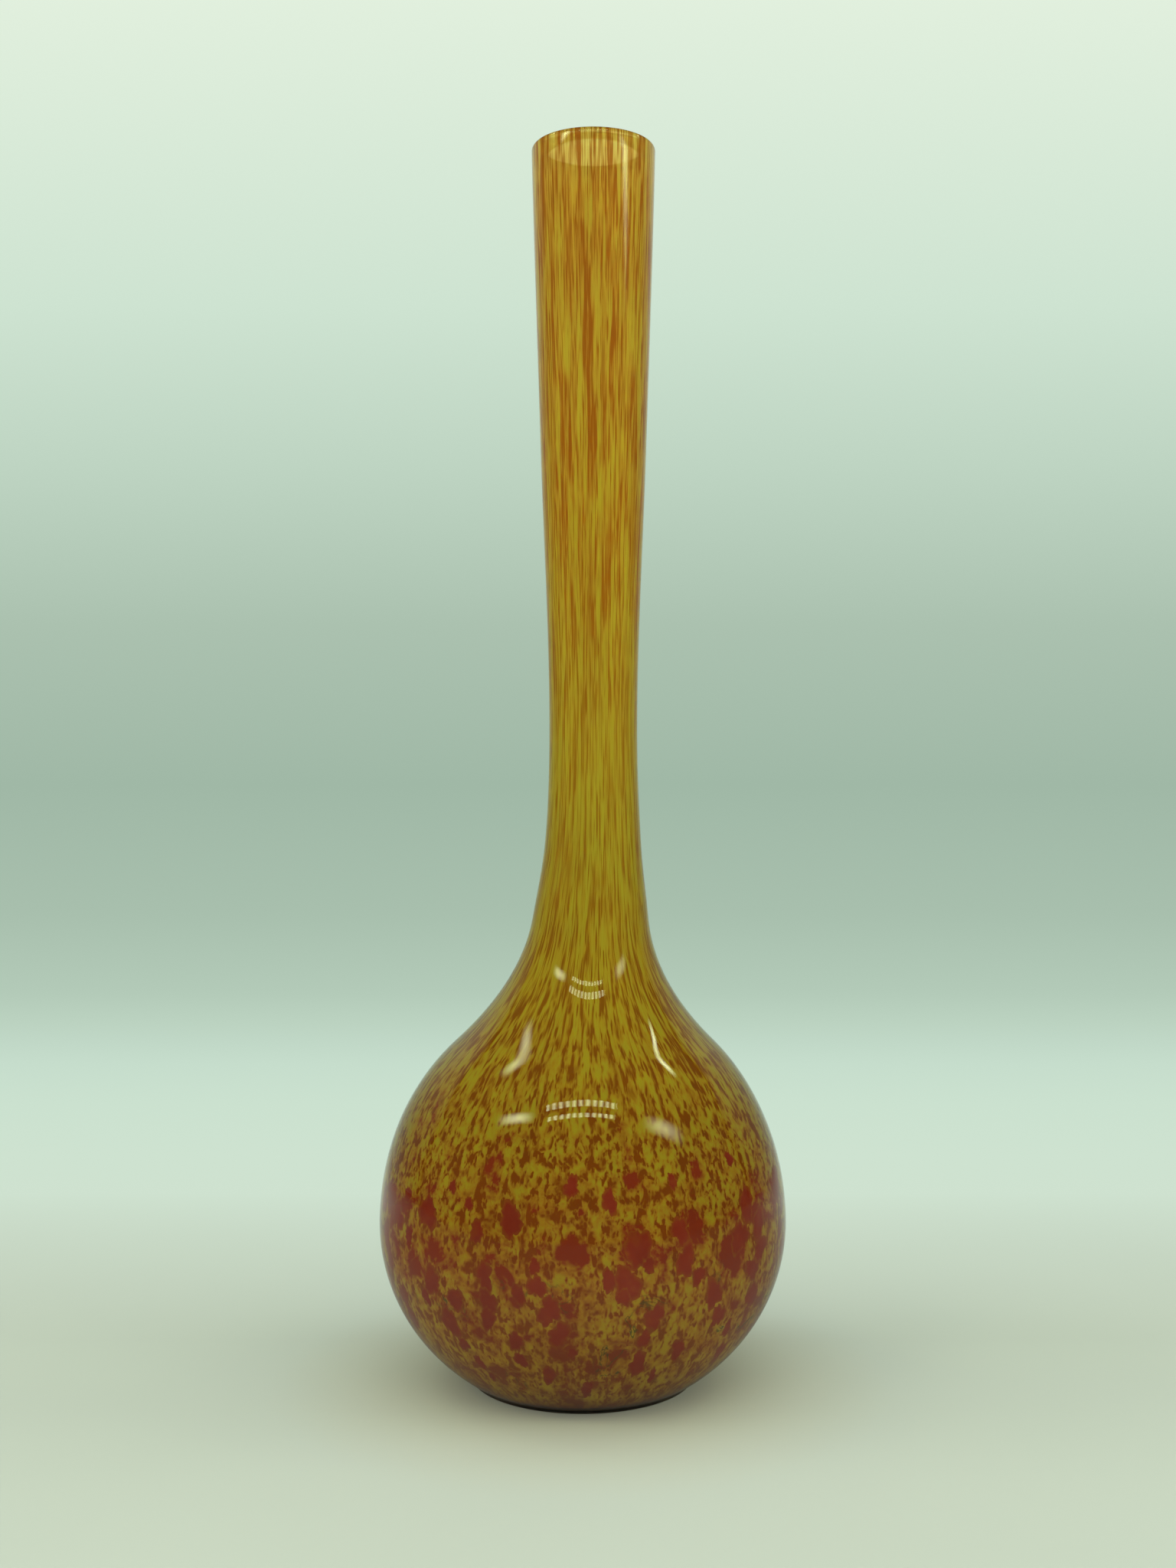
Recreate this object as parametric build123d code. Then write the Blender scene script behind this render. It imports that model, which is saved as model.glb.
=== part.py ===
from build123d import *
import math
import os

# A bottle vase, blown in one piece of cased glass: a round bulb under a long slender neck.
# It stands on the plane z = 0 with its axis on +Z. From the inside out its wall is a clear first
# gather, a thin coat of yellow glass with red chips pressed flush into it, and a thick clear casing.
# All lengths are in millimetres.

# The outside of the vase. The bulb is two half balls with a short straight stretch between them.
height = 400.0
belly_diameter = 131.4
belly_straight = 2.6
foot_diameter = 70.4
# The hollow curve from the bulb into the neck, and the long curve round the narrowest place
root_radius = 81.0
waist_radius = 450.0
waist_diameter = 28.6
waist_height = 210.0
rim_diameter = 40.5

# The layers of glass, from the outside in
casing_thickness = 1.6
coat_thickness = 0.5
gather_thickness = 1.2
wall = casing_thickness + coat_thickness + gather_thickness
# The fire-polished lip is a round across the whole wall
lip_radius = wall / 2

# The base: the glass over the table, the curve inside it, the edge of the foot and the ground hollow
base_thickness = 7.0
well_radius = 9.0
foot_round = 1.0
hollow_diameter = 44.0
hollow_depth = 2.2

# The height at which the lower ball is as wide as the foot where it meets the table
belly_height = math.sqrt((belly_diameter / 2) ** 2 - (foot_diameter / 2) ** 2)

# The outside is turned on true arcs. The cavity and the layers inside the wall follow the same line
# in short straight rows, each cut into flat panes all round. A wall line has these stretches, and
# each is drawn in this many rows.
corner_rows = 1
lower_ball_rows = 3
straight_rows = 1
upper_ball_rows = 3
root_rows = 3
waist_rows = 2
flare_rows = 1
wall_rows = {
    "corner": corner_rows,
    "lower_ball": lower_ball_rows,
    "straight": straight_rows,
    "upper_ball": upper_ball_rows,
    "root": root_rows,
    "waist": waist_rows,
    "flare": flare_rows,
}
pane_sides = 30
# The lip's rows are an odd number, so that the middle one is flat on top
lip_rows = 3
lip_rise = lip_radius * math.cos(math.radians(90 / lip_rows))
hollow_rows = 2

# The red chips, pressed into the coat: each lies on one pane, with its corners at shares of the
# pane's width and height. The heat and the drawing of the neck made streaks of those above the bulb.
chip_thickness = 0.3
shard_shares = [(0.12, 0.4), (0.3, 0.84), (0.66, 0.92), (0.9, 0.6), (0.74, 0.14), (0.34, 0.08)]
streak_shares = [(0.5, 0.02), (0.7, 0.3), (0.62, 0.7), (0.46, 0.98), (0.3, 0.62), (0.36, 0.26)]
# The neck's one long row holds three streaks, one above the other, from and to these shares of it
neck_streak_shares = [(0.02, 0.3), (0.35, 0.63), (0.68, 0.96)]
# One pane in so many of a row holds a shard, or a streak
sides_per_shard = 6
sides_per_streak = 10
# Each streak of the neck lies this many panes further round than the one below it
sides_per_streak_step = 3

# How far the cavity's cutter runs past the lip
overrun = 5.0


def angle_of(way):
    """Give the angle of a direction in the plane of the outline, in degrees from 0 to 360."""
    return math.degrees(math.atan2(way.Y, way.X)) % 360


def root_centre(upper, waist):
    """Find the centre of the arc that touches both the upper ball and the long curve of the neck."""
    from_ball = belly_diameter / 2 + root_radius
    from_waist = waist_radius - root_radius
    apart = (waist - upper).length
    way = (waist - upper).normalized()
    along = (from_ball**2 - from_waist**2 + apart**2) / (2 * apart)
    aside = math.sqrt(from_ball**2 - along**2)
    return upper + way * along + way.rotate(Axis.Z, 90) * aside


def wall_line(inset, floor, corner):
    """Draw the line of the wall from its flat floor up to the lip, an inset inside the outside."""
    ball = belly_diameter / 2 - inset
    lower = Vector(0, belly_height)
    upper = Vector(0, belly_height + belly_straight)
    waist = Vector(waist_diameter / 2 + waist_radius, waist_height)
    root = root_centre(upper, waist)
    rim = Vector(rim_diameter / 2 - inset, height - lip_rise)

    corner_rise = belly_height - floor - corner
    corner_centre = Vector(math.sqrt((ball - corner) ** 2 - corner_rise**2), floor + corner)
    corner_angle = angle_of(corner_centre - lower) - 360
    root_angle = angle_of(root - upper)
    waist_angle = angle_of(root - waist)
    neck_radius = waist_radius + inset
    flare_angle = angle_of(rim - waist) + math.degrees(math.acos(neck_radius / (rim - waist).length))

    corner_arc = CenterArc(corner_centre, corner, -90, 90 + corner_angle)
    lower_ball = CenterArc(lower, ball, corner_angle, -corner_angle)
    straight = Line((ball, lower.Y), (ball, upper.Y))
    upper_ball = CenterArc(upper, ball, 0, root_angle)
    root_arc = CenterArc(root, root_radius + inset, root_angle + 180, waist_angle - root_angle - 180)
    waist_arc = CenterArc(waist, neck_radius, waist_angle, flare_angle - waist_angle)
    flare = Line(waist_arc @ 1, rim)
    return [corner_arc, lower_ball, straight, upper_ball, root_arc, waist_arc, flare]


def in_rows(stretch, rows):
    """Pick the points at which a stretch's rows start."""
    return [stretch @ (row / rows) for row in range(rows)]


def row_points(line):
    """Pick the points of a wall line at which its rows meet."""
    points = []
    for stretch, rows in zip(line, wall_rows.values()):
        points += in_rows(stretch, rows)
    return points + [line[-1] @ 1]


def lip_points():
    """Pick the points at which the lip's rows meet, from the outside over to the cavity."""
    lip = CenterArc((rim_diameter / 2 - lip_radius, height - lip_rise), lip_radius, 0, 180)
    return in_rows(lip, lip_rows) + [lip @ 1]


def outside_body():
    """Turn the outside of the vase, with no cavity, on its foot with the ground hollow under it."""
    foot_edge, *outside = wall_line(0, 0, foot_round)
    outer_lip = lip_points()[: (lip_rows + 1) // 2]
    grinding_radius = ((hollow_diameter / 2) ** 2 + hollow_depth**2) / (2 * hollow_depth)
    grinding_angle = math.degrees(math.asin(hollow_diameter / 2 / grinding_radius))
    hollow_arc = CenterArc((0, hollow_depth - grinding_radius), grinding_radius, 90, -grinding_angle)
    hollow = in_rows(hollow_arc, hollow_rows) + [hollow_arc @ 1]
    rest = Polyline(*outer_lip, (0, height), *hollow, foot_edge @ 0, foot_edge @ 1)
    outline = make_face(Wire([*outside, *rest.edges()]))
    return revolve(Plane.XZ * outline, Axis.Z)


def rings_at(inset):
    """Give the corners of the panes, row by row, an inset inside the outside of the vase."""
    to_cavity = wall - inset
    line = wall_line(inset, base_thickness - to_cavity, well_radius + to_cavity)
    points = row_points(line)
    if inset == wall:
        inner_lip = lip_points()[(lip_rows + 1) // 2 : -1]
        points += [*reversed(inner_lip), inner_lip[0] + Vector(0, overrun)]
    turn = 360 / pane_sides
    return [
        [Vector(point.X, 0, point.Y).rotate(Axis.Z, turn * side) for side in range(pane_sides)]
        for point in points
    ]


def filled(rings):
    """Close rings of corners with flat panes, a floor and a top, and fill them."""
    panes = [Face(Wire.make_polygon(rings[0])), Face(Wire.make_polygon(rings[-1]))]
    for low, high in zip(rings, rings[1:]):
        for side in range(pane_sides):
            panes.append(Face(Wire.make_polygon([low[side - 1], low[side], high[side], high[side - 1]])))
    return Solid(Shell(panes))


def chip(rings, row, side, corner_shares):
    """Press a chip into the coat on one pane, its corners at shares of the pane's width and height."""
    low_start, low_end = rings[row][side - 1], rings[row][side]
    high_start, high_end = rings[row + 1][side - 1], rings[row + 1][side]
    corners = []
    for across, up in corner_shares:
        start = low_start + (high_start - low_start) * up
        end = low_end + (high_end - low_end) * up
        corners.append(start + (end - start) * across)
    outline = Face(Wire.make_polygon(corners))
    middle = outline.center()
    inward = Vector(-middle.X, -middle.Y, 0)
    depth = chip_thickness if outline.normal_at().dot(inward) > 0 else -chip_thickness
    return extrude(outline, depth)


def outlines_on(stretch):
    """Give the outlines of the chips that a row of this stretch holds, and on one pane in how many."""
    if stretch in ("lower_ball", "upper_ball"):
        return [shard_shares], sides_per_shard
    if stretch in ("root", "waist"):
        return [streak_shares], sides_per_streak
    if stretch == "flare":
        streaks = []
        for low, high in neck_streak_shares:
            streaks.append([(across, low + (high - low) * up) for across, up in streak_shares])
        return streaks, sides_per_streak
    return [], sides_per_shard


def all_chips(rings):
    """Lay the chips row by row, each row one pane further round than the one below it."""
    stretch_of_row = [stretch for stretch, rows in wall_rows.items() for _ in range(rows)]
    chips = []
    for row, stretch in enumerate(stretch_of_row):
        outlines, spacing = outlines_on(stretch)
        for number, outline in enumerate(outlines):
            first_side = (row + number * sides_per_streak_step) % spacing
            for side in range(first_side, pane_sides, spacing):
                chips.append(chip(rings, row, side, outline))
    return chips


under_casing = rings_at(casing_thickness)
in_casing = filled(under_casing)
in_coat = filled(rings_at(casing_thickness + coat_thickness))
cavity = filled(rings_at(wall))
chips = all_chips(under_casing)

red_chips = Compound(children=chips)
outer_casing = outside_body() - in_casing - cavity
yellow_coat = in_casing - in_coat - chips
inner_gather = in_coat - cavity

pieces = {
    "outer_casing": outer_casing,
    "yellow_coat": yellow_coat,
    "red_chips": red_chips,
    "inner_gather": inner_gather,
}
os.makedirs("parts", exist_ok=True)
for name, shape in pieces.items():
    print(name, "solids", len(shape.solids()), "volume", round(shape.volume, 1))
    export_step(shape, f"parts/{name}.step")
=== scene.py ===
import math
import random

import bpy
from mathutils import Matrix, Vector


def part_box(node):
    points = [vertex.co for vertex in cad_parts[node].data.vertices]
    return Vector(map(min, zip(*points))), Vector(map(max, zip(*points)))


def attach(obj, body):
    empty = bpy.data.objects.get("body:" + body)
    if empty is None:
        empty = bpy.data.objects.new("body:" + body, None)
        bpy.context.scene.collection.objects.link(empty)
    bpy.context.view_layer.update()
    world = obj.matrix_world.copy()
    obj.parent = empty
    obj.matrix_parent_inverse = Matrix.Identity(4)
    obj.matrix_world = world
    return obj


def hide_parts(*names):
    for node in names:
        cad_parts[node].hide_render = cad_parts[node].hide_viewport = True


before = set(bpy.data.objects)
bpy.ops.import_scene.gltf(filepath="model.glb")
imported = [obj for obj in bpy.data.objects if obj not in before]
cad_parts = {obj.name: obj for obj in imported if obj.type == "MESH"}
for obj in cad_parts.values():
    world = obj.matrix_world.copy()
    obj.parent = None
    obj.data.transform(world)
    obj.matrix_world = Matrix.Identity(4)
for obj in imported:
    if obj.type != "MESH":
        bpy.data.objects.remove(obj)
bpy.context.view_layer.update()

scene = bpy.context.scene

# The camera
# It stands level in front of the vase, a little over half a metre off, with its lens almost half way
# up the vase. The picture is 1536 by 2048 pixels, so its long side is the upright one.
picture_height_px = 2048
focal_length_px = 2300
sensor_size = 36.0
camera_distance = 0.5738
camera_height = 0.1927
camera_side = 0.00175

camera_data = bpy.data.cameras.new("camera")
camera_data.sensor_width = sensor_size
camera_data.lens = sensor_size * focal_length_px / picture_height_px
camera = bpy.data.objects.new("camera", camera_data)
camera.location = (camera_side, -camera_distance, camera_height)
camera.rotation_euler = (math.radians(90), 0, 0)
scene.collection.objects.link(camera)
scene.camera = camera
scene.view_settings.view_transform = "Standard"


# The outer casing
# The last and thickest gather of clear glass: the outside of the vase, its foot and its round lip.
# It was blown and drawn by eye, so the neck stands a few millimetres beside the middle of the bulb
# and the bulb is not quite round. It is shiny all over, with faint ripples from the breath and tools.
low_corner, high_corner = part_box("outer_casing")
vase_height = high_corner.z
belly_radius = high_corner.x
casing_thickness = 0.0016
coat_thickness = 0.0005
wall = 0.0033
lip_radius = wall / 2
base_thickness = 0.007
# The coloured coat dips to this far over the table, so the foot looks coloured too
coat_bottom = 0.003
foot_round = 0.0012
# The ring that it stands on ends this share of the foot's round inside the heel, and the round has
# more points at these shares of it
ring_share = 0.9
heel_shares = (0.35, 0.7)
hollow_radius = 0.022
hollow_depth = 0.0022
hollow_rows = 8
# Inside, each layer's floor turns up into the wall over a curve of this height, which reaches this
# many times as far inward
layer_well = 0.003
well_reach = 1.4
well_rows = 10
flat_shares = (0.0, 0.25, 0.5, 0.75)
# The bulb's outline is two half ovals on one belly line, and the upper one turns into the neck
belly_height = 0.0518
below_belly = 0.0606
above_belly = 0.0747
takeoff_turn = math.radians(50.3)
under_lip = vase_height - lip_radius
rim_radius = 0.0201
# Height, radius and lean of the outline at a few places up the neck
neck_stations = [
    (0.149, 0.0189, -0.138),
    (0.1737, 0.01565, -0.075),
    (0.211, 0.01433, 0.0),
    (0.300, 0.01715, 0.032),
    (under_lip, rim_radius, 0.023),
]
# The neck stands this far beside the bulb's axis, and gets there between these heights
neck_offset = 0.0035
offset_start = 0.080
offset_end = 0.185
# The vase is out of round by these shares of its radius, in two waves and in three
two_wave_share = 0.0022
three_wave_share = 0.0014
sides = 160
oval_rows = 34
station_rows = 20
lip_rows = 10
# A point nearer to the axis than this lies on it
on_axis = 1e-6


def smooth(share):
    """Ease from 0 to 1 with no corner at either end."""
    share = min(max(share, 0.0), 1.0)
    return share * share * (3 - 2 * share)


def hermite(start, start_way, end, end_way, share):
    """Give a number on the cubic curve between two ends with known slopes."""
    s2, s3 = share**2, share**3
    return (
        (2 * s3 - 3 * s2 + 1) * start
        + (s3 - 2 * s2 + share) * start_way
        + (3 * s2 - 2 * s3) * end
        + (s3 - s2) * end_way
    )


def outside_line():
    """Give the outline from the heel up to the lip, as radius and height."""
    heel_turn = math.asin((belly_height - foot_round) / below_belly)
    line = []
    for row in range(oval_rows):
        turn = -heel_turn * (1 - row / oval_rows)
        line.append((belly_radius * math.cos(turn), belly_height + below_belly * math.sin(turn)))
    for row in range(oval_rows):
        turn = takeoff_turn * row / oval_rows
        line.append((belly_radius * math.cos(turn), belly_height + above_belly * math.sin(turn)))
    takeoff_lean = -belly_radius * math.sin(takeoff_turn) / (above_belly * math.cos(takeoff_turn))
    takeoff = (
        belly_height + above_belly * math.sin(takeoff_turn),
        belly_radius * math.cos(takeoff_turn),
        takeoff_lean,
    )
    stations = [takeoff] + neck_stations
    for (z0, r0, lean0), (z1, r1, lean1) in zip(stations, stations[1:]):
        rise = z1 - z0
        for row in range(station_rows):
            share = row / station_rows
            line.append((hermite(r0, lean0 * rise, r1, lean1 * rise, share), z0 + rise * share))
    line.append((rim_radius, under_lip))
    return line


def inset_line(inset, floor, well, top):
    """Give the line an inset inside the outside, from the axis over its floor and up to a height."""
    outline = outside_line()
    line = []
    for index, (radius, height) in enumerate(outline):
        before = Vector(outline[max(index - 1, 0)])
        after = Vector(outline[min(index + 1, len(outline) - 1)])
        way = (after - before).normalized()
        line.append((radius - inset * way.y, height + inset * way.x))
    wall_part = [point for point in line if point[1] > floor + well]
    wall_part[-1] = (wall_part[-1][0], top)
    start = Vector(wall_part[0])
    way = (start - Vector(wall_part[1])).normalized()
    flat_edge = start.x - well * well_reach
    floor_part = [(flat_edge * share, floor) for share in flat_shares]
    bend = (start - Vector((flat_edge, floor))).length
    for row in range(well_rows):
        share = row / well_rows
        floor_part.append(
            (
                hermite(flat_edge, bend, start.x, -way.x * bend, share),
                hermite(floor, 0.0, start.y, -way.y * bend, share),
            )
        )
    return floor_part + wall_part


def on_vase(radius, height, angle):
    """Put a point of the outline on the vase, with the sway and the slight oval of hand work."""
    offset = neck_offset * smooth((height - offset_start) / (offset_end - offset_start))
    oval = 1 + two_wave_share * math.sin(2 * angle + 0.7)
    oval += three_wave_share * math.sin(3 * angle + 9 * height / vase_height)
    return (radius * oval * math.cos(angle) + offset, radius * oval * math.sin(angle), height)


def mesh_object(name, points, faces):
    """Make a mesh from its points and faces and put it in the scene."""
    mesh = bpy.data.meshes.new(name)
    mesh.from_pydata(points, [], faces)
    mesh.update()
    made = bpy.data.objects.new(name, mesh)
    scene.collection.objects.link(made)
    return made


def turned(name, runs):
    """Turn runs of outline points round the axis into one closed mesh, each run with its own finish."""
    points = []
    finishes = []
    for line, finish in runs:
        for point in line:
            points.append(point)
            finishes.append(finish)
    vertices = []
    rings = []
    for radius, height in points:
        if radius < on_axis:
            rings.append([len(vertices)])
            vertices.append(on_vase(0.0, height, 0.0))
        else:
            rings.append(list(range(len(vertices), len(vertices) + sides)))
            vertices += [on_vase(radius, height, math.tau * side / sides) for side in range(sides)]
    faces = []
    face_finishes = []
    for index, (ring, following) in enumerate(zip(rings, rings[1:])):
        for side in range(sides):
            after = (side + 1) % sides
            if len(ring) == 1 and len(following) == 1:
                continue
            if len(ring) == 1:
                faces.append((ring[0], following[after], following[side]))
            elif len(following) == 1:
                faces.append((ring[side], ring[after], following[0]))
            else:
                faces.append((ring[side], ring[after], following[after], following[side]))
            face_finishes.append(finishes[index + 1])
    piece = mesh_object(name, vertices, faces)
    piece.data.polygons.foreach_set("material_index", face_finishes)
    piece.data.polygons.foreach_set("use_smooth", [True] * len(faces))
    piece.data.update()
    return piece


def foot_line():
    """Give the underside from the axis, over the ground hollow and the ring, to the heel."""
    heel = outside_line()[0]
    line = []
    for row in range(hollow_rows + 1):
        share = row / hollow_rows
        line.append((hollow_radius * share, hollow_depth * (1 - share**2)))
    ring_edge = heel[0] - foot_round * ring_share
    line.append(((hollow_radius + ring_edge) / 2, 0.0))
    line.append((ring_edge, 0.0))
    for share in heel_shares:
        turn = share * math.pi / 2
        radius = ring_edge + (heel[0] - ring_edge) * math.sin(turn)
        line.append((radius, foot_round * (1 - math.cos(turn))))
    return line


def lip_line():
    """Give the round lip, from the outside over to the cavity."""
    middle = rim_radius - lip_radius
    line = []
    for row in range(1, lip_rows + 1):
        turn = math.pi * row / lip_rows
        line.append((middle + lip_radius * math.cos(turn), under_lip + lip_radius * math.sin(turn)))
    return line


def srgb(red, green, blue):
    """Turn a colour as seen, from 0 to 255, into light values."""
    light = []
    for value in (red, green, blue):
        if value > 10:
            light.append(((value / 255 + 0.055) / 1.055) ** 2.4)
        else:
            light.append(value / 255 / 12.92)
    return tuple(light)


def new_finish(name):
    """Make a material, and give it with its nodes and their links."""
    material = bpy.data.materials.new(name)
    material.use_nodes = True
    return material, material.node_tree.nodes, material.node_tree.links


def ramp(nodes, stops):
    """Make a colour ramp from places and colours."""
    node = nodes.new("ShaderNodeValToRGB")
    elements = node.color_ramp.elements
    while len(elements) < len(stops):
        elements.new(0.5)
    for element, (place, colour) in zip(elements, stops):
        element.position = place
        element.color = (*colour, 1.0)
    return node


def grey(value):
    """Make a colour of one number."""
    return (value, value, value)


def noise(nodes, links, vector, scale, detail=2.0, roughness=0.5, distortion=0.0):
    """Make a cloud pattern of a given fineness on a vector."""
    node = nodes.new("ShaderNodeTexNoise")
    node.inputs["Scale"].default_value = scale
    node.inputs["Detail"].default_value = detail
    node.inputs["Roughness"].default_value = roughness
    node.inputs["Distortion"].default_value = distortion
    links.new(vector, node.inputs["Vector"])
    return node.outputs["Fac"]


def axes_of(nodes, links, vector):
    """Split a vector into its X, Y and Z."""
    node = nodes.new("ShaderNodeSeparateXYZ")
    links.new(vector, node.inputs["Vector"])
    return node.outputs


def calc(nodes, links, how, first, second=None, third=None):
    """Do a sum with one, two or three numbers or sockets."""
    node = nodes.new("ShaderNodeMath")
    node.operation = how
    for index, value in enumerate((first, second, third)):
        if value is None:
            continue
        if isinstance(value, (int, float)):
            node.inputs[index].default_value = value
        else:
            links.new(value, node.inputs[index])
    return node.outputs["Value"]


def tones(nodes, links, share, stops):
    """Make a colour that changes with a share, from places and colours as seen."""
    node = ramp(nodes, [(place, srgb(*colour)) for place, colour in stops])
    links.new(share, node.inputs["Fac"])
    return node.outputs["Color"]


def levels(nodes, links, share, stops):
    """Make a number that changes with a share, from places and numbers."""
    node = ramp(nodes, [(place, grey(value)) for place, value in stops])
    links.new(share, node.inputs["Fac"])
    return node.outputs["Color"]


def blend(nodes, links, share, first, second):
    """Mix two colours by a share."""
    node = nodes.new("ShaderNodeMix")
    node.data_type = "RGBA"
    links.new(share, node.inputs["Factor"])
    for socket, colour in (("A", first), ("B", second)):
        if isinstance(colour, tuple):
            node.inputs[socket].default_value = (*colour, 1.0)
        else:
            links.new(colour, node.inputs[socket])
    return node.outputs["Result"]


def clear_glass(name, tint, ripple, painted_reflection_tint=None):
    """Make shiny clear glass. Its foot may carry a warm tint, a painted reflection of the coloured coat
    that the clear foot shows.
    """
    material, nodes, links = new_finish(name)
    output = nodes["Material Output"]
    glass = nodes["Principled BSDF"]
    glass.inputs["Roughness"].default_value = 0.02
    glass.inputs["IOR"].default_value = 1.45
    glass.inputs["Transmission Weight"].default_value = 1.0
    place = nodes.new("ShaderNodeTexCoord")
    tints = ramp(nodes, [(0.0, tint), (1.0, (1.0, 1.0, 0.99))])
    links.new(noise(nodes, links, place.outputs["Object"], 60.0), tints.inputs["Fac"])
    colour = tints.outputs["Color"]
    # The warm tint low in the foot is a painted reflection of the coloured coat above it
    if painted_reflection_tint:
        axes = axes_of(nodes, links, place.outputs["Object"])
        height = calc(nodes, links, "DIVIDE", axes["Z"], base_thickness)
        above_foot = levels(nodes, links, height, [(0.3, 0.0), (0.8, 1.0)])
        colour = blend(nodes, links, above_foot, painted_reflection_tint, colour)
    links.new(colour, glass.inputs["Base Color"])
    stretch = nodes.new("ShaderNodeMapping")
    stretch.inputs["Scale"].default_value = (1.0, 1.0, 0.35)
    links.new(place.outputs["Object"], stretch.inputs["Vector"])
    bump = nodes.new("ShaderNodeBump")
    bump.inputs["Strength"].default_value = 1.0
    bump.inputs["Distance"].default_value = ripple
    links.new(noise(nodes, links, stretch.outputs["Vector"], 45.0, 1.0), bump.inputs["Height"])
    links.new(bump.outputs["Normal"], glass.inputs["Normal"])
    # Light passes straight through it on its way to what lies under it
    way = nodes.new("ShaderNodeLightPath")
    open_way = nodes.new("ShaderNodeBsdfTransparent")
    mix = nodes.new("ShaderNodeMixShader")
    links.new(way.outputs["Is Shadow Ray"], mix.inputs["Fac"])
    links.new(glass.outputs["BSDF"], mix.inputs[1])
    links.new(open_way.outputs["BSDF"], mix.inputs[2])
    links.new(mix.outputs["Shader"], output.inputs["Surface"])
    return material


def fused(name):
    """Make the finish of a face that is melted to the next layer, where nothing can be seen."""
    material, nodes, links = new_finish(name)
    nodes.clear()
    output = nodes.new("ShaderNodeOutputMaterial")
    seam = nodes.new("ShaderNodeBsdfTransparent")
    links.new(seam.outputs["BSDF"], output.inputs["Surface"])
    return material


# The colour reaches up into the lip, and the clear glass over it there is this thick
lip_cover = 0.0005
coat_top = vase_height - lip_cover
# The faces of two layers that are melted together are kept this far apart
seam_gap = 0.00002
clear_tint = (0.985, 1.0, 0.98)
# Warm tint painted into the clear foot, a painted reflection of the coloured coat mirrored in it
coat_reflection_tint = (0.62, 0.34, 0.12)
casing_ripple = 0.0002
under_casing = inset_line(casing_thickness, coat_bottom, layer_well, coat_top + seam_gap)
groove_radius = under_casing[-1][0] - coat_thickness - 2 * seam_gap
groove = [(groove_radius, under_lip), (groove_radius, under_casing[-1][1])]
casing = turned(
    "clear_outer_casing",
    [(foot_line() + outside_line() + lip_line(), 0), (groove + list(reversed(under_casing)), 1)],
)
casing_glass = clear_glass("clear_casing_glass", clear_tint, casing_ripple, painted_reflection_tint=coat_reflection_tint)
casing.data.materials.append(casing_glass)
casing.data.materials.append(fused("fused_under_casing"))
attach(casing, "root")
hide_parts("outer_casing")


# The yellow coat
# A thin coat of yellow glass rolled onto the first gather, full of fine red and brown crumbs. The
# crumbs stayed round on the bulb, and the drawing of the neck pulled them out into long streaks.
# It holds less colour where it was drawn thin, so more light comes through the neck.
coat_outer_inset = casing_thickness + seam_gap
coat_inner_inset = casing_thickness + coat_thickness
# The glass was drawn out between these heights, until each millimetre had become this many
draw_start = 0.085
draw_end = 0.175
most_drawn = 6.0
# On this much of the outline, from the axis on, the pattern draws together inside this radius
base_length = 0.05
base_radius = 0.030


def before_drawing(points):
    """Give each outline point's height on the bulb before the neck was drawn out of it."""
    heights = []
    travelled = 0.0
    for index, point in enumerate(points):
        if index:
            step = (Vector(point) - Vector(points[index - 1])).length
            share = min(max((point[1] - draw_start) / (draw_end - draw_start), 0.0), 1.0)
            travelled += step / (1 + (most_drawn - 1) * share)
        heights.append(travelled)
    return heights


coat_line = inset_line(coat_outer_inset, coat_bottom + seam_gap, layer_well, coat_top)
coat_inner_line = inset_line(coat_inner_inset, coat_bottom + coat_thickness, layer_well, coat_top)
coat = turned("yellow_coat_glass", [(coat_line, 0), (list(reversed(coat_inner_line)), 1)])


def remember_blowing(piece, runs):
    """Write on the mesh where each point lay before the neck was drawn, for the colours to follow."""
    drawn = [height for line in runs for height in before_drawing(line)]
    radii = [radius for line in runs for radius, _ in line]
    values = []
    for radius, height in zip(radii, drawn):
        count = 1 if radius < on_axis else sides
        for side in range(count):
            angle = math.tau * side / sides
            reach = belly_radius * (min(radius / base_radius, 1.0) if height < base_length else 1.0)
            values += [reach * math.cos(angle), reach * math.sin(angle), height]
    attribute = piece.data.attributes.new("before_drawing", "FLOAT_VECTOR", "POINT")
    attribute.data.foreach_set("vector", values)


remember_blowing(coat, [coat_line, list(reversed(coat_inner_line))])


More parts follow.
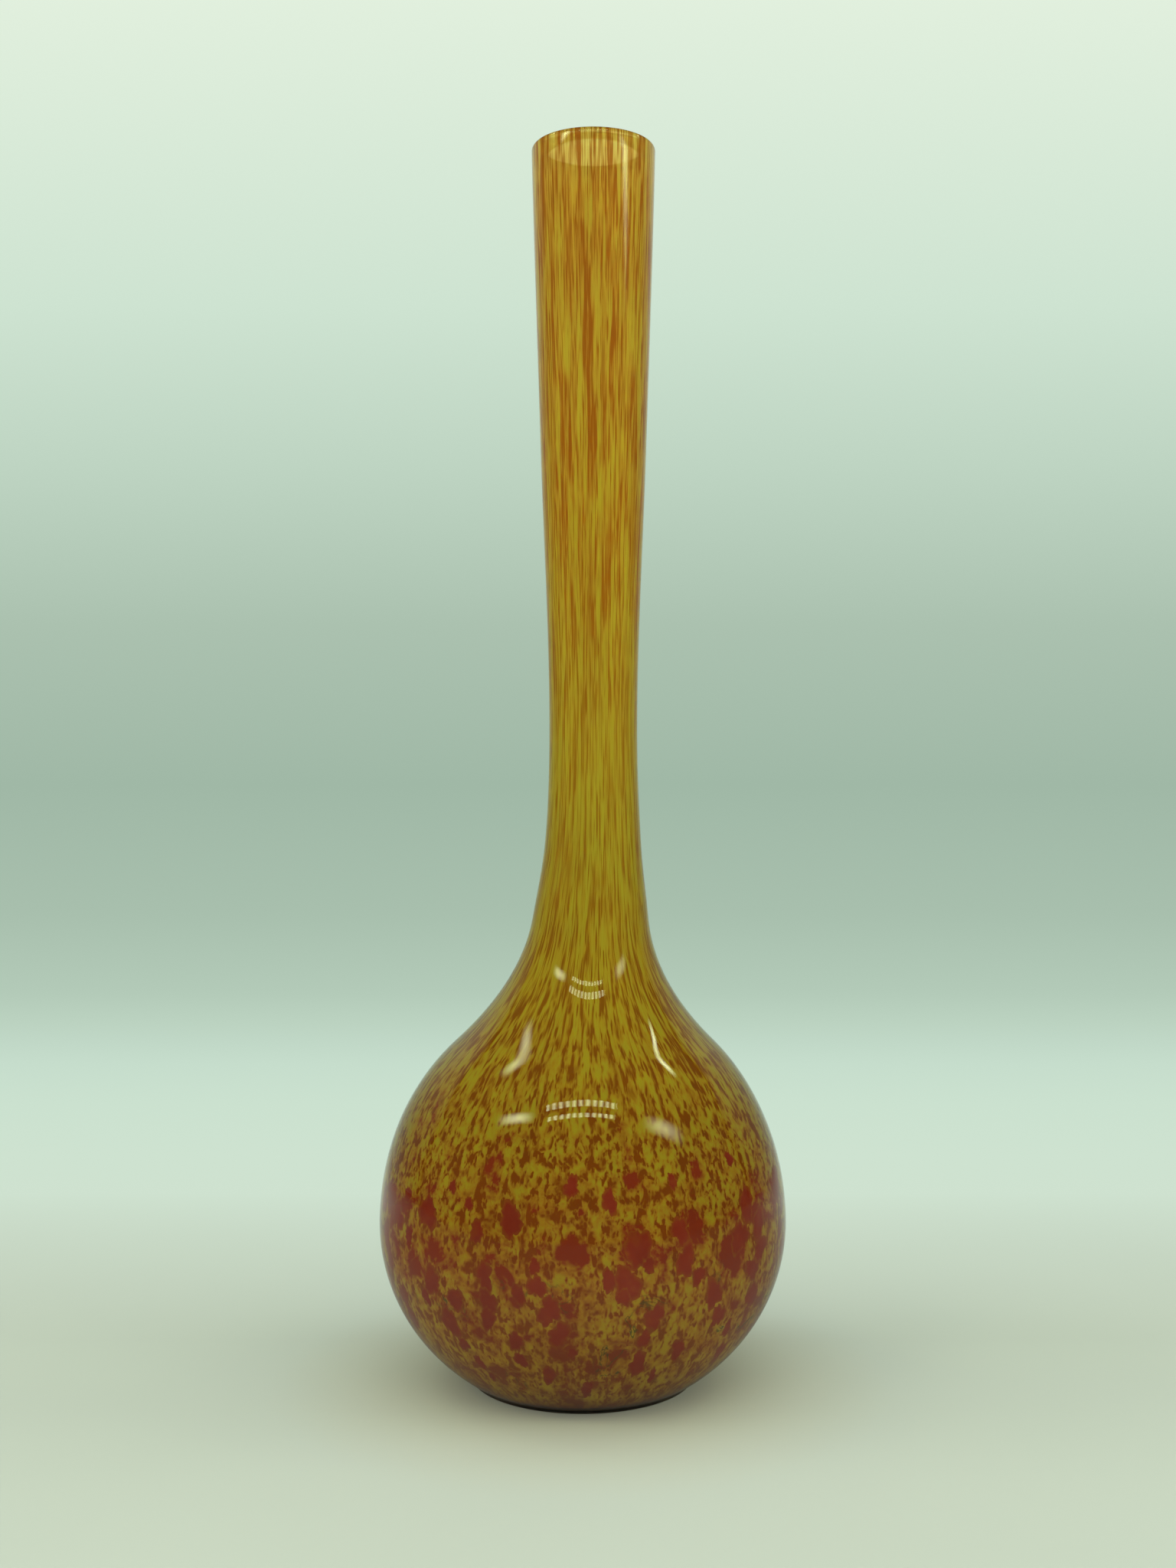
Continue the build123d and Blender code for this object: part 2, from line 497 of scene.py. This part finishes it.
def spatter_glass():
    """Make yellow glass with red crumbs that are round on the bulb and drawn out up the neck."""
    material, nodes, links = new_finish("spatter_glass")
    body = nodes["Principled BSDF"]
    attribute = nodes.new("ShaderNodeAttribute")
    attribute.attribute_name = "before_drawing"
    where = attribute.outputs["Vector"]
    place = nodes.new("ShaderNodeTexCoord")
    axes = axes_of(nodes, links, place.outputs["Object"])
    share = calc(nodes, links, "DIVIDE", axes["Z"], vase_height)

    # Fine and small crumbs lie everywhere. Patches rule in the belt round the belly. The crumbs of the
    # neck were larger before it was drawn. Each pattern is given with how much of it there is at each
    # share of the height, and all these amounts stand this much too high.
    amounts_over = 0.5
    upright = nodes.new("ShaderNodeVectorMath")
    upright.operation = "MULTIPLY"
    upright.inputs[1].default_value = (1.0, 1.0, 0.6)
    links.new(where, upright.inputs[0])
    crumbs = [
        (noise(nodes, links, upright.outputs["Vector"], 600.0, 2.0, 0.5, 0.2),
         [(0.0, 0.41), (0.08, 0.415), (0.15, 0.43), (0.28, 0.43), (0.37, 0.405), (0.5, 0.395),
          (1.0, 0.40)]),
        (noise(nodes, links, upright.outputs["Vector"], 340.0, 2.0, 0.5, 0.3),
         [(0.0, 0.42), (0.12, 0.41), (0.24, 0.40), (0.37, 0.385), (0.5, 0.38), (0.65, 0.395),
          (1.0, 0.40)]),
        (noise(nodes, links, where, 250.0, 2.0, 0.5, 0.1),
         [(0.0, 0.34), (0.25, 0.35), (0.33, 0.385), (0.5, 0.385), (0.65, 0.405), (1.0, 0.41)]),
        (noise(nodes, links, where, 130.0, 3.0, 0.55, 0.1),
         [(0.0, 0.33), (0.25, 0.34), (0.4, 0.37), (0.5, 0.375), (0.65, 0.395), (1.0, 0.405)]),
    ]
    patch = noise(nodes, links, where, 95.0, 4.0, 0.6, 0.3)
    patch_amount = levels(
        nodes, links, share,
        [(0.0, 0.425), (0.08, 0.432), (0.16, 0.432), (0.21, 0.34), (1.0, 0.34)],
    )
    patch_level = calc(nodes, links, "ADD", patch, patch_amount)
    level = patch_level
    for field, amounts in crumbs:
        crumb_level = calc(nodes, links, "ADD", field, levels(nodes, links, share, amounts))
        level = calc(nodes, links, "MAXIMUM", level, crumb_level)
    level = calc(nodes, links, "SUBTRACT", level, amounts_over)
    ochre_share = levels(nodes, links, level, [(0.39, 0.0), (0.47, 1.0)])
    red_share = levels(nodes, links, level, [(0.465, 0.0), (0.55, 1.0)])
    patch_level = calc(nodes, links, "SUBTRACT", patch_level, amounts_over)
    maroon_share = levels(nodes, links, patch_level, [(0.47, 0.0), (0.53, 1.0)])

    # Each crumb has a brown middle, an ochre rim where it melted out, and olive glass round it
    # All four tones turn dark brown over the lowest 9 mm or so, down to the foot: painted shade on the
    # heel
    olive = tones(
        nodes, links, share,
        [(0.004, (92, 58, 12)), (0.022, (142, 112, 20)), (0.12, (134, 112, 20)), (0.22, (129, 115, 20)),
         (0.32, (143, 130, 24)), (0.45, (167, 155, 36)), (0.7, (186, 166, 38)), (0.95, (192, 168, 48)),
         (1.0, (208, 188, 78))],
    )
    ochre = tones(
        nodes, links, share,
        [(0.004, (88, 52, 12)), (0.022, (132, 92, 22)), (0.12, (132, 88, 20)), (0.22, (129, 96, 18)),
         (0.32, (143, 116, 20)), (0.45, (161, 137, 30)), (0.7, (178, 138, 34)), (0.95, (186, 140, 40)),
         (1.0, (194, 158, 56))],
    )
    brown = tones(
        nodes, links, share,
        [(0.004, (78, 42, 8)), (0.022, (106, 58, 12)), (0.12, (104, 48, 8)), (0.22, (98, 50, 4)),
         (0.32, (114, 70, 6)), (0.5, (138, 94, 12)), (0.7, (142, 78, 8)), (1.0, (144, 84, 18))],
    )
    maroon = tones(
        nodes, links, share,
        [(0.004, (78, 40, 10)), (0.022, (104, 50, 16)), (0.12, (108, 38, 16)), (0.22, (106, 38, 14)),
         (0.3, (112, 64, 6)), (0.5, (134, 88, 12)), (1.0, (138, 74, 18))],
    )
    ground = blend(nodes, links, ochre_share, olive, ochre)
    crumb = blend(nodes, links, maroon_share, brown, maroon)
    # Here and there low on the bulb a thin thread of dark green glass curls between the crumbs
    curl = noise(nodes, links, where, 70.0, 3.0, 0.5, 1.5)
    off_thread = calc(nodes, links, "ABSOLUTE", calc(nodes, links, "SUBTRACT", curl, 0.5))
    thread = levels(nodes, links, off_thread, [(0.006, 1.0), (0.014, 0.0)])
    spot = levels(nodes, links, noise(nodes, links, where, 45.0, 1.0), [(0.57, 0.0), (0.62, 0.85)])
    low = levels(nodes, links, share, [(0.02, 0.0), (0.04, 1.0), (0.1, 1.0), (0.13, 0.0)])
    thread_share = calc(nodes, links, "MULTIPLY", calc(nodes, links, "MULTIPLY", thread, spot), low)
    spattered = blend(nodes, links, red_share, ground, crumb)
    links.new(blend(nodes, links, thread_share, spattered, srgb(58, 58, 18)), body.inputs["Base Color"])
    # The brown streaks let less light through than the yellow glass between them
    drawn_thin = levels(
        nodes, links, share,
        [(0.0, 0.0), (0.28, 0.03), (0.42, 0.38), (0.9, 0.5), (1.0, 0.46)],
    )
    clearness = calc(nodes, links, "MULTIPLY_ADD", red_share, -0.6, 1.0)
    links.new(calc(nodes, links, "MULTIPLY", drawn_thin, clearness), body.inputs["Transmission Weight"])
    body.inputs["Roughness"].default_value = 0.5
    body.inputs["IOR"].default_value = 1.01
    return material


coat.data.materials.append(spatter_glass())
coat.data.materials.append(fused("fused_under_coat"))
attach(coat, "root")
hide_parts("yellow_coat")


# The red chips
# The larger chips of red glass, rolled flush into the coat. They are ragged patches a few millimetres
# across, many of them in pairs, in a belt round the belly that rises higher on one side.
chip_count = 165
chip_corners = 36
# A chip stands this far out of the coat and as far into it, and those that meet differ by steps
chip_rise = 0.00003
rise_step = 0.2
rise_steps = 5
chip_rings = (0.35, 0.7, 1.0)
smallest_chip = 0.0018
largest_chip = 0.0041
# Its outline goes in and out this many times all round, by up to this share
chip_lobes = ((2, 0.22), (3, 0.18), (5, 0.12), (9, 0.11), (14, 0.07))
# One chip in so many lies against another: over it below this height, and under it higher up
chips_per_pair = 4
pair_height = 0.04
pair_stretch = 1.2
# The chips get smaller upward from a height and downward from another, by up to a share of their
# size, over a stretch
top_loss = 0.45
top_loss_start = 0.062
top_loss_stretch = 0.016
low_loss = 0.3
low_loss_start = 0.032
low_loss_stretch = 0.018
# No chip reaches under or over these heights
chip_floor = 0.009
chip_ceiling = 0.13
# The coat's outer line leaves its flat floor at this point
first_climbing = len(flat_shares) + 1
golden_turn = math.pi * (3 - math.sqrt(5))
chooser = random.Random(5)
# The belt lies between these heights. Its top edge rises and falls by this much round the vase, and
# is highest at this turn
chip_low = 0.012
chip_high = 0.071
chip_lean = 0.009
chip_lean_turn = -0.85
chip_vertices = []
chip_edge_shares = []
chip_faces = []


def coat_point(height, angle, depth):
    """Find a point on the coat's outer face, or a depth inside it."""
    climbing = coat_line[first_climbing:]
    for (r0, z0), (r1, z1) in zip(climbing, climbing[1:]):
        if z0 <= height <= z1:
            share = (height - z0) / (z1 - z0)
            way = Vector((r1 - r0, z1 - z0)).normalized()
            radius = r0 + (r1 - r0) * share
            return on_vase(radius - depth * way.y, height + depth * way.x, angle)
    raise ValueError(height)


for number in range(chip_count):
    size = chooser.uniform(smallest_chip, largest_chip)
    if number % chips_per_pair == 1:
        # This one lies against the chip before it, mostly over or under it
        way = chooser.uniform(0.25, 0.75) * math.pi * (1 if middle < pair_height else -1)
        apart = (size + last_size) * chooser.uniform(1.0, 1.3)
        middle += apart * math.sin(way) * pair_stretch
        middle_angle += apart * math.cos(way) / belly_radius
    else:
        share = (number + 0.5) / chip_count
        middle_angle = golden_turn * number + chooser.uniform(-0.1, 0.1)
        belt_top = chip_high + chip_lean * math.cos(middle_angle - chip_lean_turn)
        middle = chip_low + (belt_top - chip_low) * share
    last_size = size
    at_top = smooth((middle - top_loss_start) / top_loss_stretch)
    at_bottom = smooth((low_loss_start - middle) / low_loss_stretch)
    size *= 1 - top_loss * at_top - low_loss * at_bottom
    rise = chip_rise * (1 + rise_step * (number % rise_steps))
    tall = chooser.uniform(0.95, 1.7)
    lobes = [
        (chooser.uniform(0.4, 1.0) * depth, chooser.uniform(0, math.tau), waves)
        for waves, depth in chip_lobes
    ]
    base = len(chip_vertices)
    for depth in (-rise, rise):
        chip_vertices.append(coat_point(middle, middle_angle, depth))
        chip_edge_shares += [0.0] + [ring for ring in chip_rings for _ in range(chip_corners)]
        for ring in chip_rings:
            for corner in range(chip_corners):
                turn = math.tau * corner / chip_corners
                ragged = 1 + sum(swing * math.sin(waves * turn + start) for swing, start, waves in lobes)
                across = size * ring * ragged * math.cos(turn)
                up = size * ring * ragged * tall * math.sin(turn)
                height = min(max(middle + up, chip_floor), chip_ceiling)
                angle = middle_angle + across / belly_radius
                chip_vertices.append(coat_point(height, angle, depth))
    layer = 1 + len(chip_rings) * chip_corners
    for corner in range(chip_corners):
        after = (corner + 1) % chip_corners
        for start in (base, base + layer):
            face = (start, start + 1 + corner, start + 1 + after)
            chip_faces.append(face if start == base else face[::-1])
            for ring in range(len(chip_rings) - 1):
                low = start + 1 + ring * chip_corners
                high = low + chip_corners
                face = (low + corner, high + corner, high + after, low + after)
                chip_faces.append(face if start == base else face[::-1])
        rim = base + layer - chip_corners
        chip_faces.append((rim + after, rim + corner, rim + layer + corner, rim + layer + after))

chips = mesh_object("red_glass_chips", chip_vertices, chip_faces)
chips.data.polygons.foreach_set("use_smooth", [True] * len(chip_faces))
chips.data.set_sharp_from_angle(angle=0.6)
edge_share = chips.data.attributes.new("edge_share", "FLOAT", "POINT")
edge_share.data.foreach_set("value", chip_edge_shares)


def chip_glass():
    """Make brick-red glass, cloudy in places and browner towards the edge of each chip."""
    material, nodes, links = new_finish("red_chip_glass")
    body = nodes["Principled BSDF"]
    body.inputs["Roughness"].default_value = 0.5
    body.inputs["IOR"].default_value = 1.01
    place = nodes.new("ShaderNodeTexCoord")
    clouds = noise(nodes, links, place.outputs["Object"], 300.0, 3.0)
    reds = tones(
        nodes, links, clouds,
        [(0.35, (104, 34, 16)), (0.55, (107, 37, 19)), (0.75, (110, 46, 18))],
    )
    edge = nodes.new("ShaderNodeAttribute")
    edge.attribute_name = "edge_share"
    # The melted rim of each chip is broad in places and narrow in others
    fine_clouds = noise(nodes, links, place.outputs["Object"], 700.0, 2.0)
    worn = calc(nodes, links, "MULTIPLY_ADD", fine_clouds, 0.5, -0.25)
    worn_edge = calc(nodes, links, "ADD", edge.outputs["Fac"], worn)
    melted = levels(nodes, links, worn_edge, [(0.72, 0.0), (1.05, 1.0)])
    links.new(blend(nodes, links, melted, reds, srgb(110, 56, 15)), body.inputs["Base Color"])
    return material


chips.data.materials.append(chip_glass())
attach(chips, "root")
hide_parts("red_chips")


# The inner gather
# The first gather of clear glass, which lines the bulb and the neck and is what the water touches.
# It shows only through the mouth, as a shiny lining over the coat.
gather_inset = coat_inner_inset + seam_gap
gather_bottom = coat_bottom + coat_thickness + seam_gap
cavity_well = 0.006
gather_ripple = 0.00015
gather_line = inset_line(gather_inset, gather_bottom, layer_well, under_lip)
cavity_line = inset_line(wall, base_thickness, cavity_well, under_lip)
gather = turned("clear_inner_gather", [(gather_line, 1), (list(reversed(cavity_line)), 0)])
gather.data.materials.append(clear_glass("clear_gather_glass", clear_tint, gather_ripple))
gather.data.materials.append(fused("fused_under_gather"))
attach(gather, "root")
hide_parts("inner_gather")


# The floor and the backdrop
# A pale sweep of card under and behind the vase. The floor keeps the vase's soft shadow, and a warm shade
# and glow are painted on it round the vase's foot. The backdrop has a darker band low down, where the
# sweep turns upright and less light reaches it.
card_half_width = 3.0
backdrop_distance = 0.75
backdrop_height = 1.2
backdrop_foot = -0.01
dark_mirror = (0.05, 0.05, 0.04)
# Colour of the painted warm shade and glow round the vase's foot
painted_glow_and_shade = (0.41, 0.38, 0.24)


def aside_of(nodes, links, axes):
    """Give how far to the left or the right a point of the card lies, as a share of its half width."""
    return calc(nodes, links, "DIVIDE", calc(nodes, links, "ABSOLUTE", axes["X"]), card_half_width)


def less_in_mirrors(nodes, links, mirrored, loss):
    """Give 1 to the eye, and less by a loss to the vase, which mirrors the card only faintly."""
    return calc(nodes, links, "SUBTRACT", 1.0, calc(nodes, links, "MULTIPLY", mirrored, loss))


def floor_card():
    """Make matt card that rises into the backdrop's tone behind the vase."""
    material, nodes, links = new_finish("floor_card")
    body = nodes["Principled BSDF"]
    body.inputs["Roughness"].default_value = 0.9
    body.inputs["Specular IOR Level"].default_value = 0.1
    place = nodes.new("ShaderNodeTexCoord").outputs["Object"]
    axes = axes_of(nodes, links, place)
    mirrored = nodes.new("ShaderNodeLightPath").outputs["Is Glossy Ray"]
    length = nodes.new("ShaderNodeVectorMath")
    length.operation = "LENGTH"
    links.new(place, length.inputs[0])
    reach = length.outputs["Value"]
    clouds = noise(nodes, links, place, 6.0)
    card = tones(nodes, links, clouds, [(0.3, (169, 176, 165)), (0.7, (172, 179, 168))])
    # Round the vase's foot a warm, slightly darker tone is painted on the card: painted shade with the
    # amber light the glass throws
    painted_glow_share = levels(nodes, links, reach, [(0.04, 0.5), (0.1, 0.0)])
    card_with_painted_glow = blend(nodes, links, painted_glow_share, card, painted_glow_and_shade)
    # The vase mirrors the card near it more than the card far off
    dimmed = levels(nodes, links, reach, [(0.1, 0.5), (0.3, 0.8), (0.9, 0.98)])
    dark_share = calc(nodes, links, "MULTIPLY", mirrored, dimmed)
    links.new(blend(nodes, links, dark_share, card_with_painted_glow, dark_mirror), body.inputs["Base Color"])
    # Behind the vase the card starts to rise, and takes the backdrop's tone bit by bit
    far_share = calc(nodes, links, "DIVIDE", axes["Y"], backdrop_distance)
    far_tones = tones(
        nodes, links, far_share,
        [(0.1, (206, 222, 204)), (0.27, (207, 225, 207)), (0.45, (206, 226, 208)),
         (0.65, (203, 225, 207)), (0.85, (198, 221, 204)), (1.0, (192, 215, 198))],
    )
    far_loss = levels(nodes, links, aside_of(nodes, links, axes), [(0.03, 0.0), (0.2, 0.6), (0.5, 0.95)])
    far_light = nodes.new("ShaderNodeEmission")
    links.new(far_tones, far_light.inputs["Color"])
    links.new(less_in_mirrors(nodes, links, mirrored, far_loss), far_light.inputs["Strength"])
    rising = levels(nodes, links, far_share, [(0.05, 0.0), (0.34, 1.0)])
    # Away from the vase the card has one even tone all round, so no lamp leaves a bright patch on it
    far_off = levels(nodes, links, reach, [(0.2, 0.0), (0.45, 1.0)])
    far_round = calc(nodes, links, "MULTIPLY", far_off, less_in_mirrors(nodes, links, mirrored, 1.0))
    rise = nodes.new("ShaderNodeMixShader")
    links.new(calc(nodes, links, "MAXIMUM", rising, far_round), rise.inputs["Fac"])
    links.new(body.outputs["BSDF"], rise.inputs[1])
    links.new(far_light.outputs["Emission"], rise.inputs[2])
    links.new(rise.outputs["Shader"], nodes["Material Output"].inputs["Surface"])
    return material


def backdrop_card():
    """Make card that is light at the top, darker in a band low down, and the floor's tone at its foot."""
    material, nodes, links = new_finish("backdrop_card")
    nodes.clear()
    output = nodes.new("ShaderNodeOutputMaterial")
    axes = axes_of(nodes, links, nodes.new("ShaderNodeTexCoord").outputs["Object"])
    mirrored = nodes.new("ShaderNodeLightPath").outputs["Is Glossy Ray"]
    share = calc(nodes, links, "DIVIDE", axes["Z"], backdrop_height)
    card = tones(
        nodes, links, share,
        [(0.0, (192, 215, 198)), (0.012, (187, 210, 192)), (0.03, (179, 202, 184)),
         (0.08, (168, 191, 173)), (0.16, (160, 184, 166)), (0.26, (171, 193, 175)),
         (0.36, (190, 212, 194)), (0.46, (206, 227, 209)), (0.66, (226, 240, 222))],
    )
    # Its sides and its top edge fade out of the vase's mirror image, so they draw no lines on the glass
    side_loss = levels(nodes, links, aside_of(nodes, links, axes), [(0.06, 0.0), (0.3, 0.6), (0.95, 1.0)])
    edge_loss = levels(nodes, links, share, [(0.45, 0.0), (0.95, 1.0)])
    loss = calc(nodes, links, "MAXIMUM", side_loss, edge_loss)
    light = nodes.new("ShaderNodeEmission")
    links.new(card, light.inputs["Color"])
    links.new(less_in_mirrors(nodes, links, mirrored, loss), light.inputs["Strength"])
    links.new(light.outputs["Emission"], output.inputs["Surface"])
    return material


floor_corners = [
    (-card_half_width, -card_half_width, 0),
    (card_half_width, -card_half_width, 0),
    (card_half_width, backdrop_distance, 0),
    (-card_half_width, backdrop_distance, 0),
]
floor = mesh_object("floor", floor_corners, [(0, 1, 2, 3)])
floor.data.materials.append(floor_card())

backdrop_corners = [
    (-card_half_width, backdrop_distance, backdrop_foot),
    (card_half_width, backdrop_distance, backdrop_foot),
    (card_half_width, backdrop_distance, backdrop_height),
    (-card_half_width, backdrop_distance, backdrop_height),
]
backdrop = mesh_object("backdrop", backdrop_corners, [(0, 1, 2, 3)])
backdrop.data.materials.append(backdrop_card())


# The light
# Even light from a white tent all round, a broad lamp overhead that gives the soft shadow, and fill
# and wall lamps that light the vase from the front and the sides without showing on it. Rows of small
# lamps and softly lit windows, high up, show as bright lines and spots on the glass.
tent_strength = 0.61
tent_mirror_loss = 0.55
shown_lamp_colour = (0.88, 1.0, 0.55)
dot_swing = 0.9
soft_power = 1.7
soft_gain = 3.0
world = bpy.data.worlds.new("tent")
scene.world = world
world.use_nodes = True
tent = world.node_tree.nodes["Background"]
tent.inputs["Color"].default_value = (0.93, 1.0, 0.94, 1.0)
tent_nodes, tent_links = world.node_tree.nodes, world.node_tree.links
tent_mirrored = tent_nodes.new("ShaderNodeLightPath").outputs["Is Glossy Ray"]
tent_light = calc(tent_nodes, tent_links, "MULTIPLY_ADD", tent_mirrored, -tent_mirror_loss, tent_strength)
tent_links.new(tent_light, tent.inputs["Strength"])


def sine(nodes, links, number, turn):
    """Give the sine of a number times a turn."""
    return calc(nodes, links, "SINE", calc(nodes, links, "MULTIPLY", number, turn))


def lamp(name, start, end, aim, width, power, shiny=True, dots=0, soft=False):
    """Hang a flat lamp between two places, facing a point. It may be a row of dots, or fade outward."""
    data = bpy.data.lights.new(name, "AREA")
    data.shape = "RECTANGLE"
    start, end, aim = Vector(start), Vector(end), Vector(aim)
    middle = (start + end) / 2
    data.size = (end - start).length
    data.size_y = width
    data.energy = power
    if shiny:
        data.color = shown_lamp_colour
    if dots or soft:
        data.use_nodes = True
        nodes, links = data.node_tree.nodes, data.node_tree.links
        place = nodes.new("ShaderNodeNewGeometry")
        axes = axes_of(nodes, links, place.outputs["Parametric"])
        if dots:
            wave = sine(nodes, links, axes["X"], dots * math.tau)
            bright = calc(nodes, links, "MULTIPLY_ADD", wave, dot_swing, 1.0)
        if soft:
            along_it = sine(nodes, links, axes["X"], math.pi)
            across_it = sine(nodes, links, axes["Y"], math.pi)
            middle_share = calc(nodes, links, "MULTIPLY", along_it, across_it)
            fading = calc(nodes, links, "POWER", middle_share, soft_power)
            bright = calc(nodes, links, "MULTIPLY", fading, soft_gain)
        links.new(bright, nodes["Emission"].inputs["Strength"])
    holder = bpy.data.objects.new(name, data)
    away = (middle - aim).normalized()
    along = (end - start).normalized()
    across = away.cross(along).normalized()
    along = across.cross(away)
    holder.matrix_world = Matrix((along, across, away)).transposed().to_4x4()
    holder.location = middle
    holder.visible_glossy = shiny
    scene.collection.objects.link(holder)


vase_middle = (0.0, 0.0, 0.1)
lamp("overhead", (-0.75, -0.28, 0.95), (0.75, -0.28, 0.95), (0, 0, 0), 1.2, 5.4, shiny=False)
lamp("low_fill", (-0.3, -0.95, 0.14), (0.3, -0.95, 0.14), (0, 0, 0.03), 0.2, 3.0, shiny=False)
lamp("left_fill", (-0.95, -0.5, 0.32), (-0.5, -0.95, 0.32), vase_middle, 0.6, 1.8, shiny=False)
lamp("right_fill", (0.5, -0.95, 0.32), (0.95, -0.5, 0.32), vase_middle, 0.6, 1.8, shiny=False)
lamp("left_wall", (-1.0, 0.15, 0.3), (-1.0, -0.35, 0.3), vase_middle, 0.5, 4.3, shiny=False)
lamp("right_wall", (1.0, -0.35, 0.3), (1.0, 0.15, 0.3), vase_middle, 0.5, 4.3, shiny=False)
lamp("front_row", (-0.33, -0.53, 0.9), (0.33, -0.53, 0.9), vase_middle, 0.055, 0.62, dots=11)
lamp("near_row", (-0.34, -0.66, 0.9), (0.34, -0.66, 0.9), vase_middle, 0.04, 0.5, dots=11)
lamp("left_row", (-0.575, 0.015, 0.79), (-0.38, 0.08, 0.95), vase_middle, 0.15, 0.36, soft=True)
lamp("right_row", (0.64, 0.07, 0.735), (0.48, 0.135, 0.885), vase_middle, 0.065, 0.26, soft=True)
lamp("left_window", (-0.68, -0.32, 0.68), (-0.40, -0.54, 0.81), vase_middle, 0.11, 0.6, soft=True)
lamp("right_window", (0.54, -0.53, 0.77), (0.83, -0.32, 0.54), vase_middle, 0.17, 0.6, soft=True)
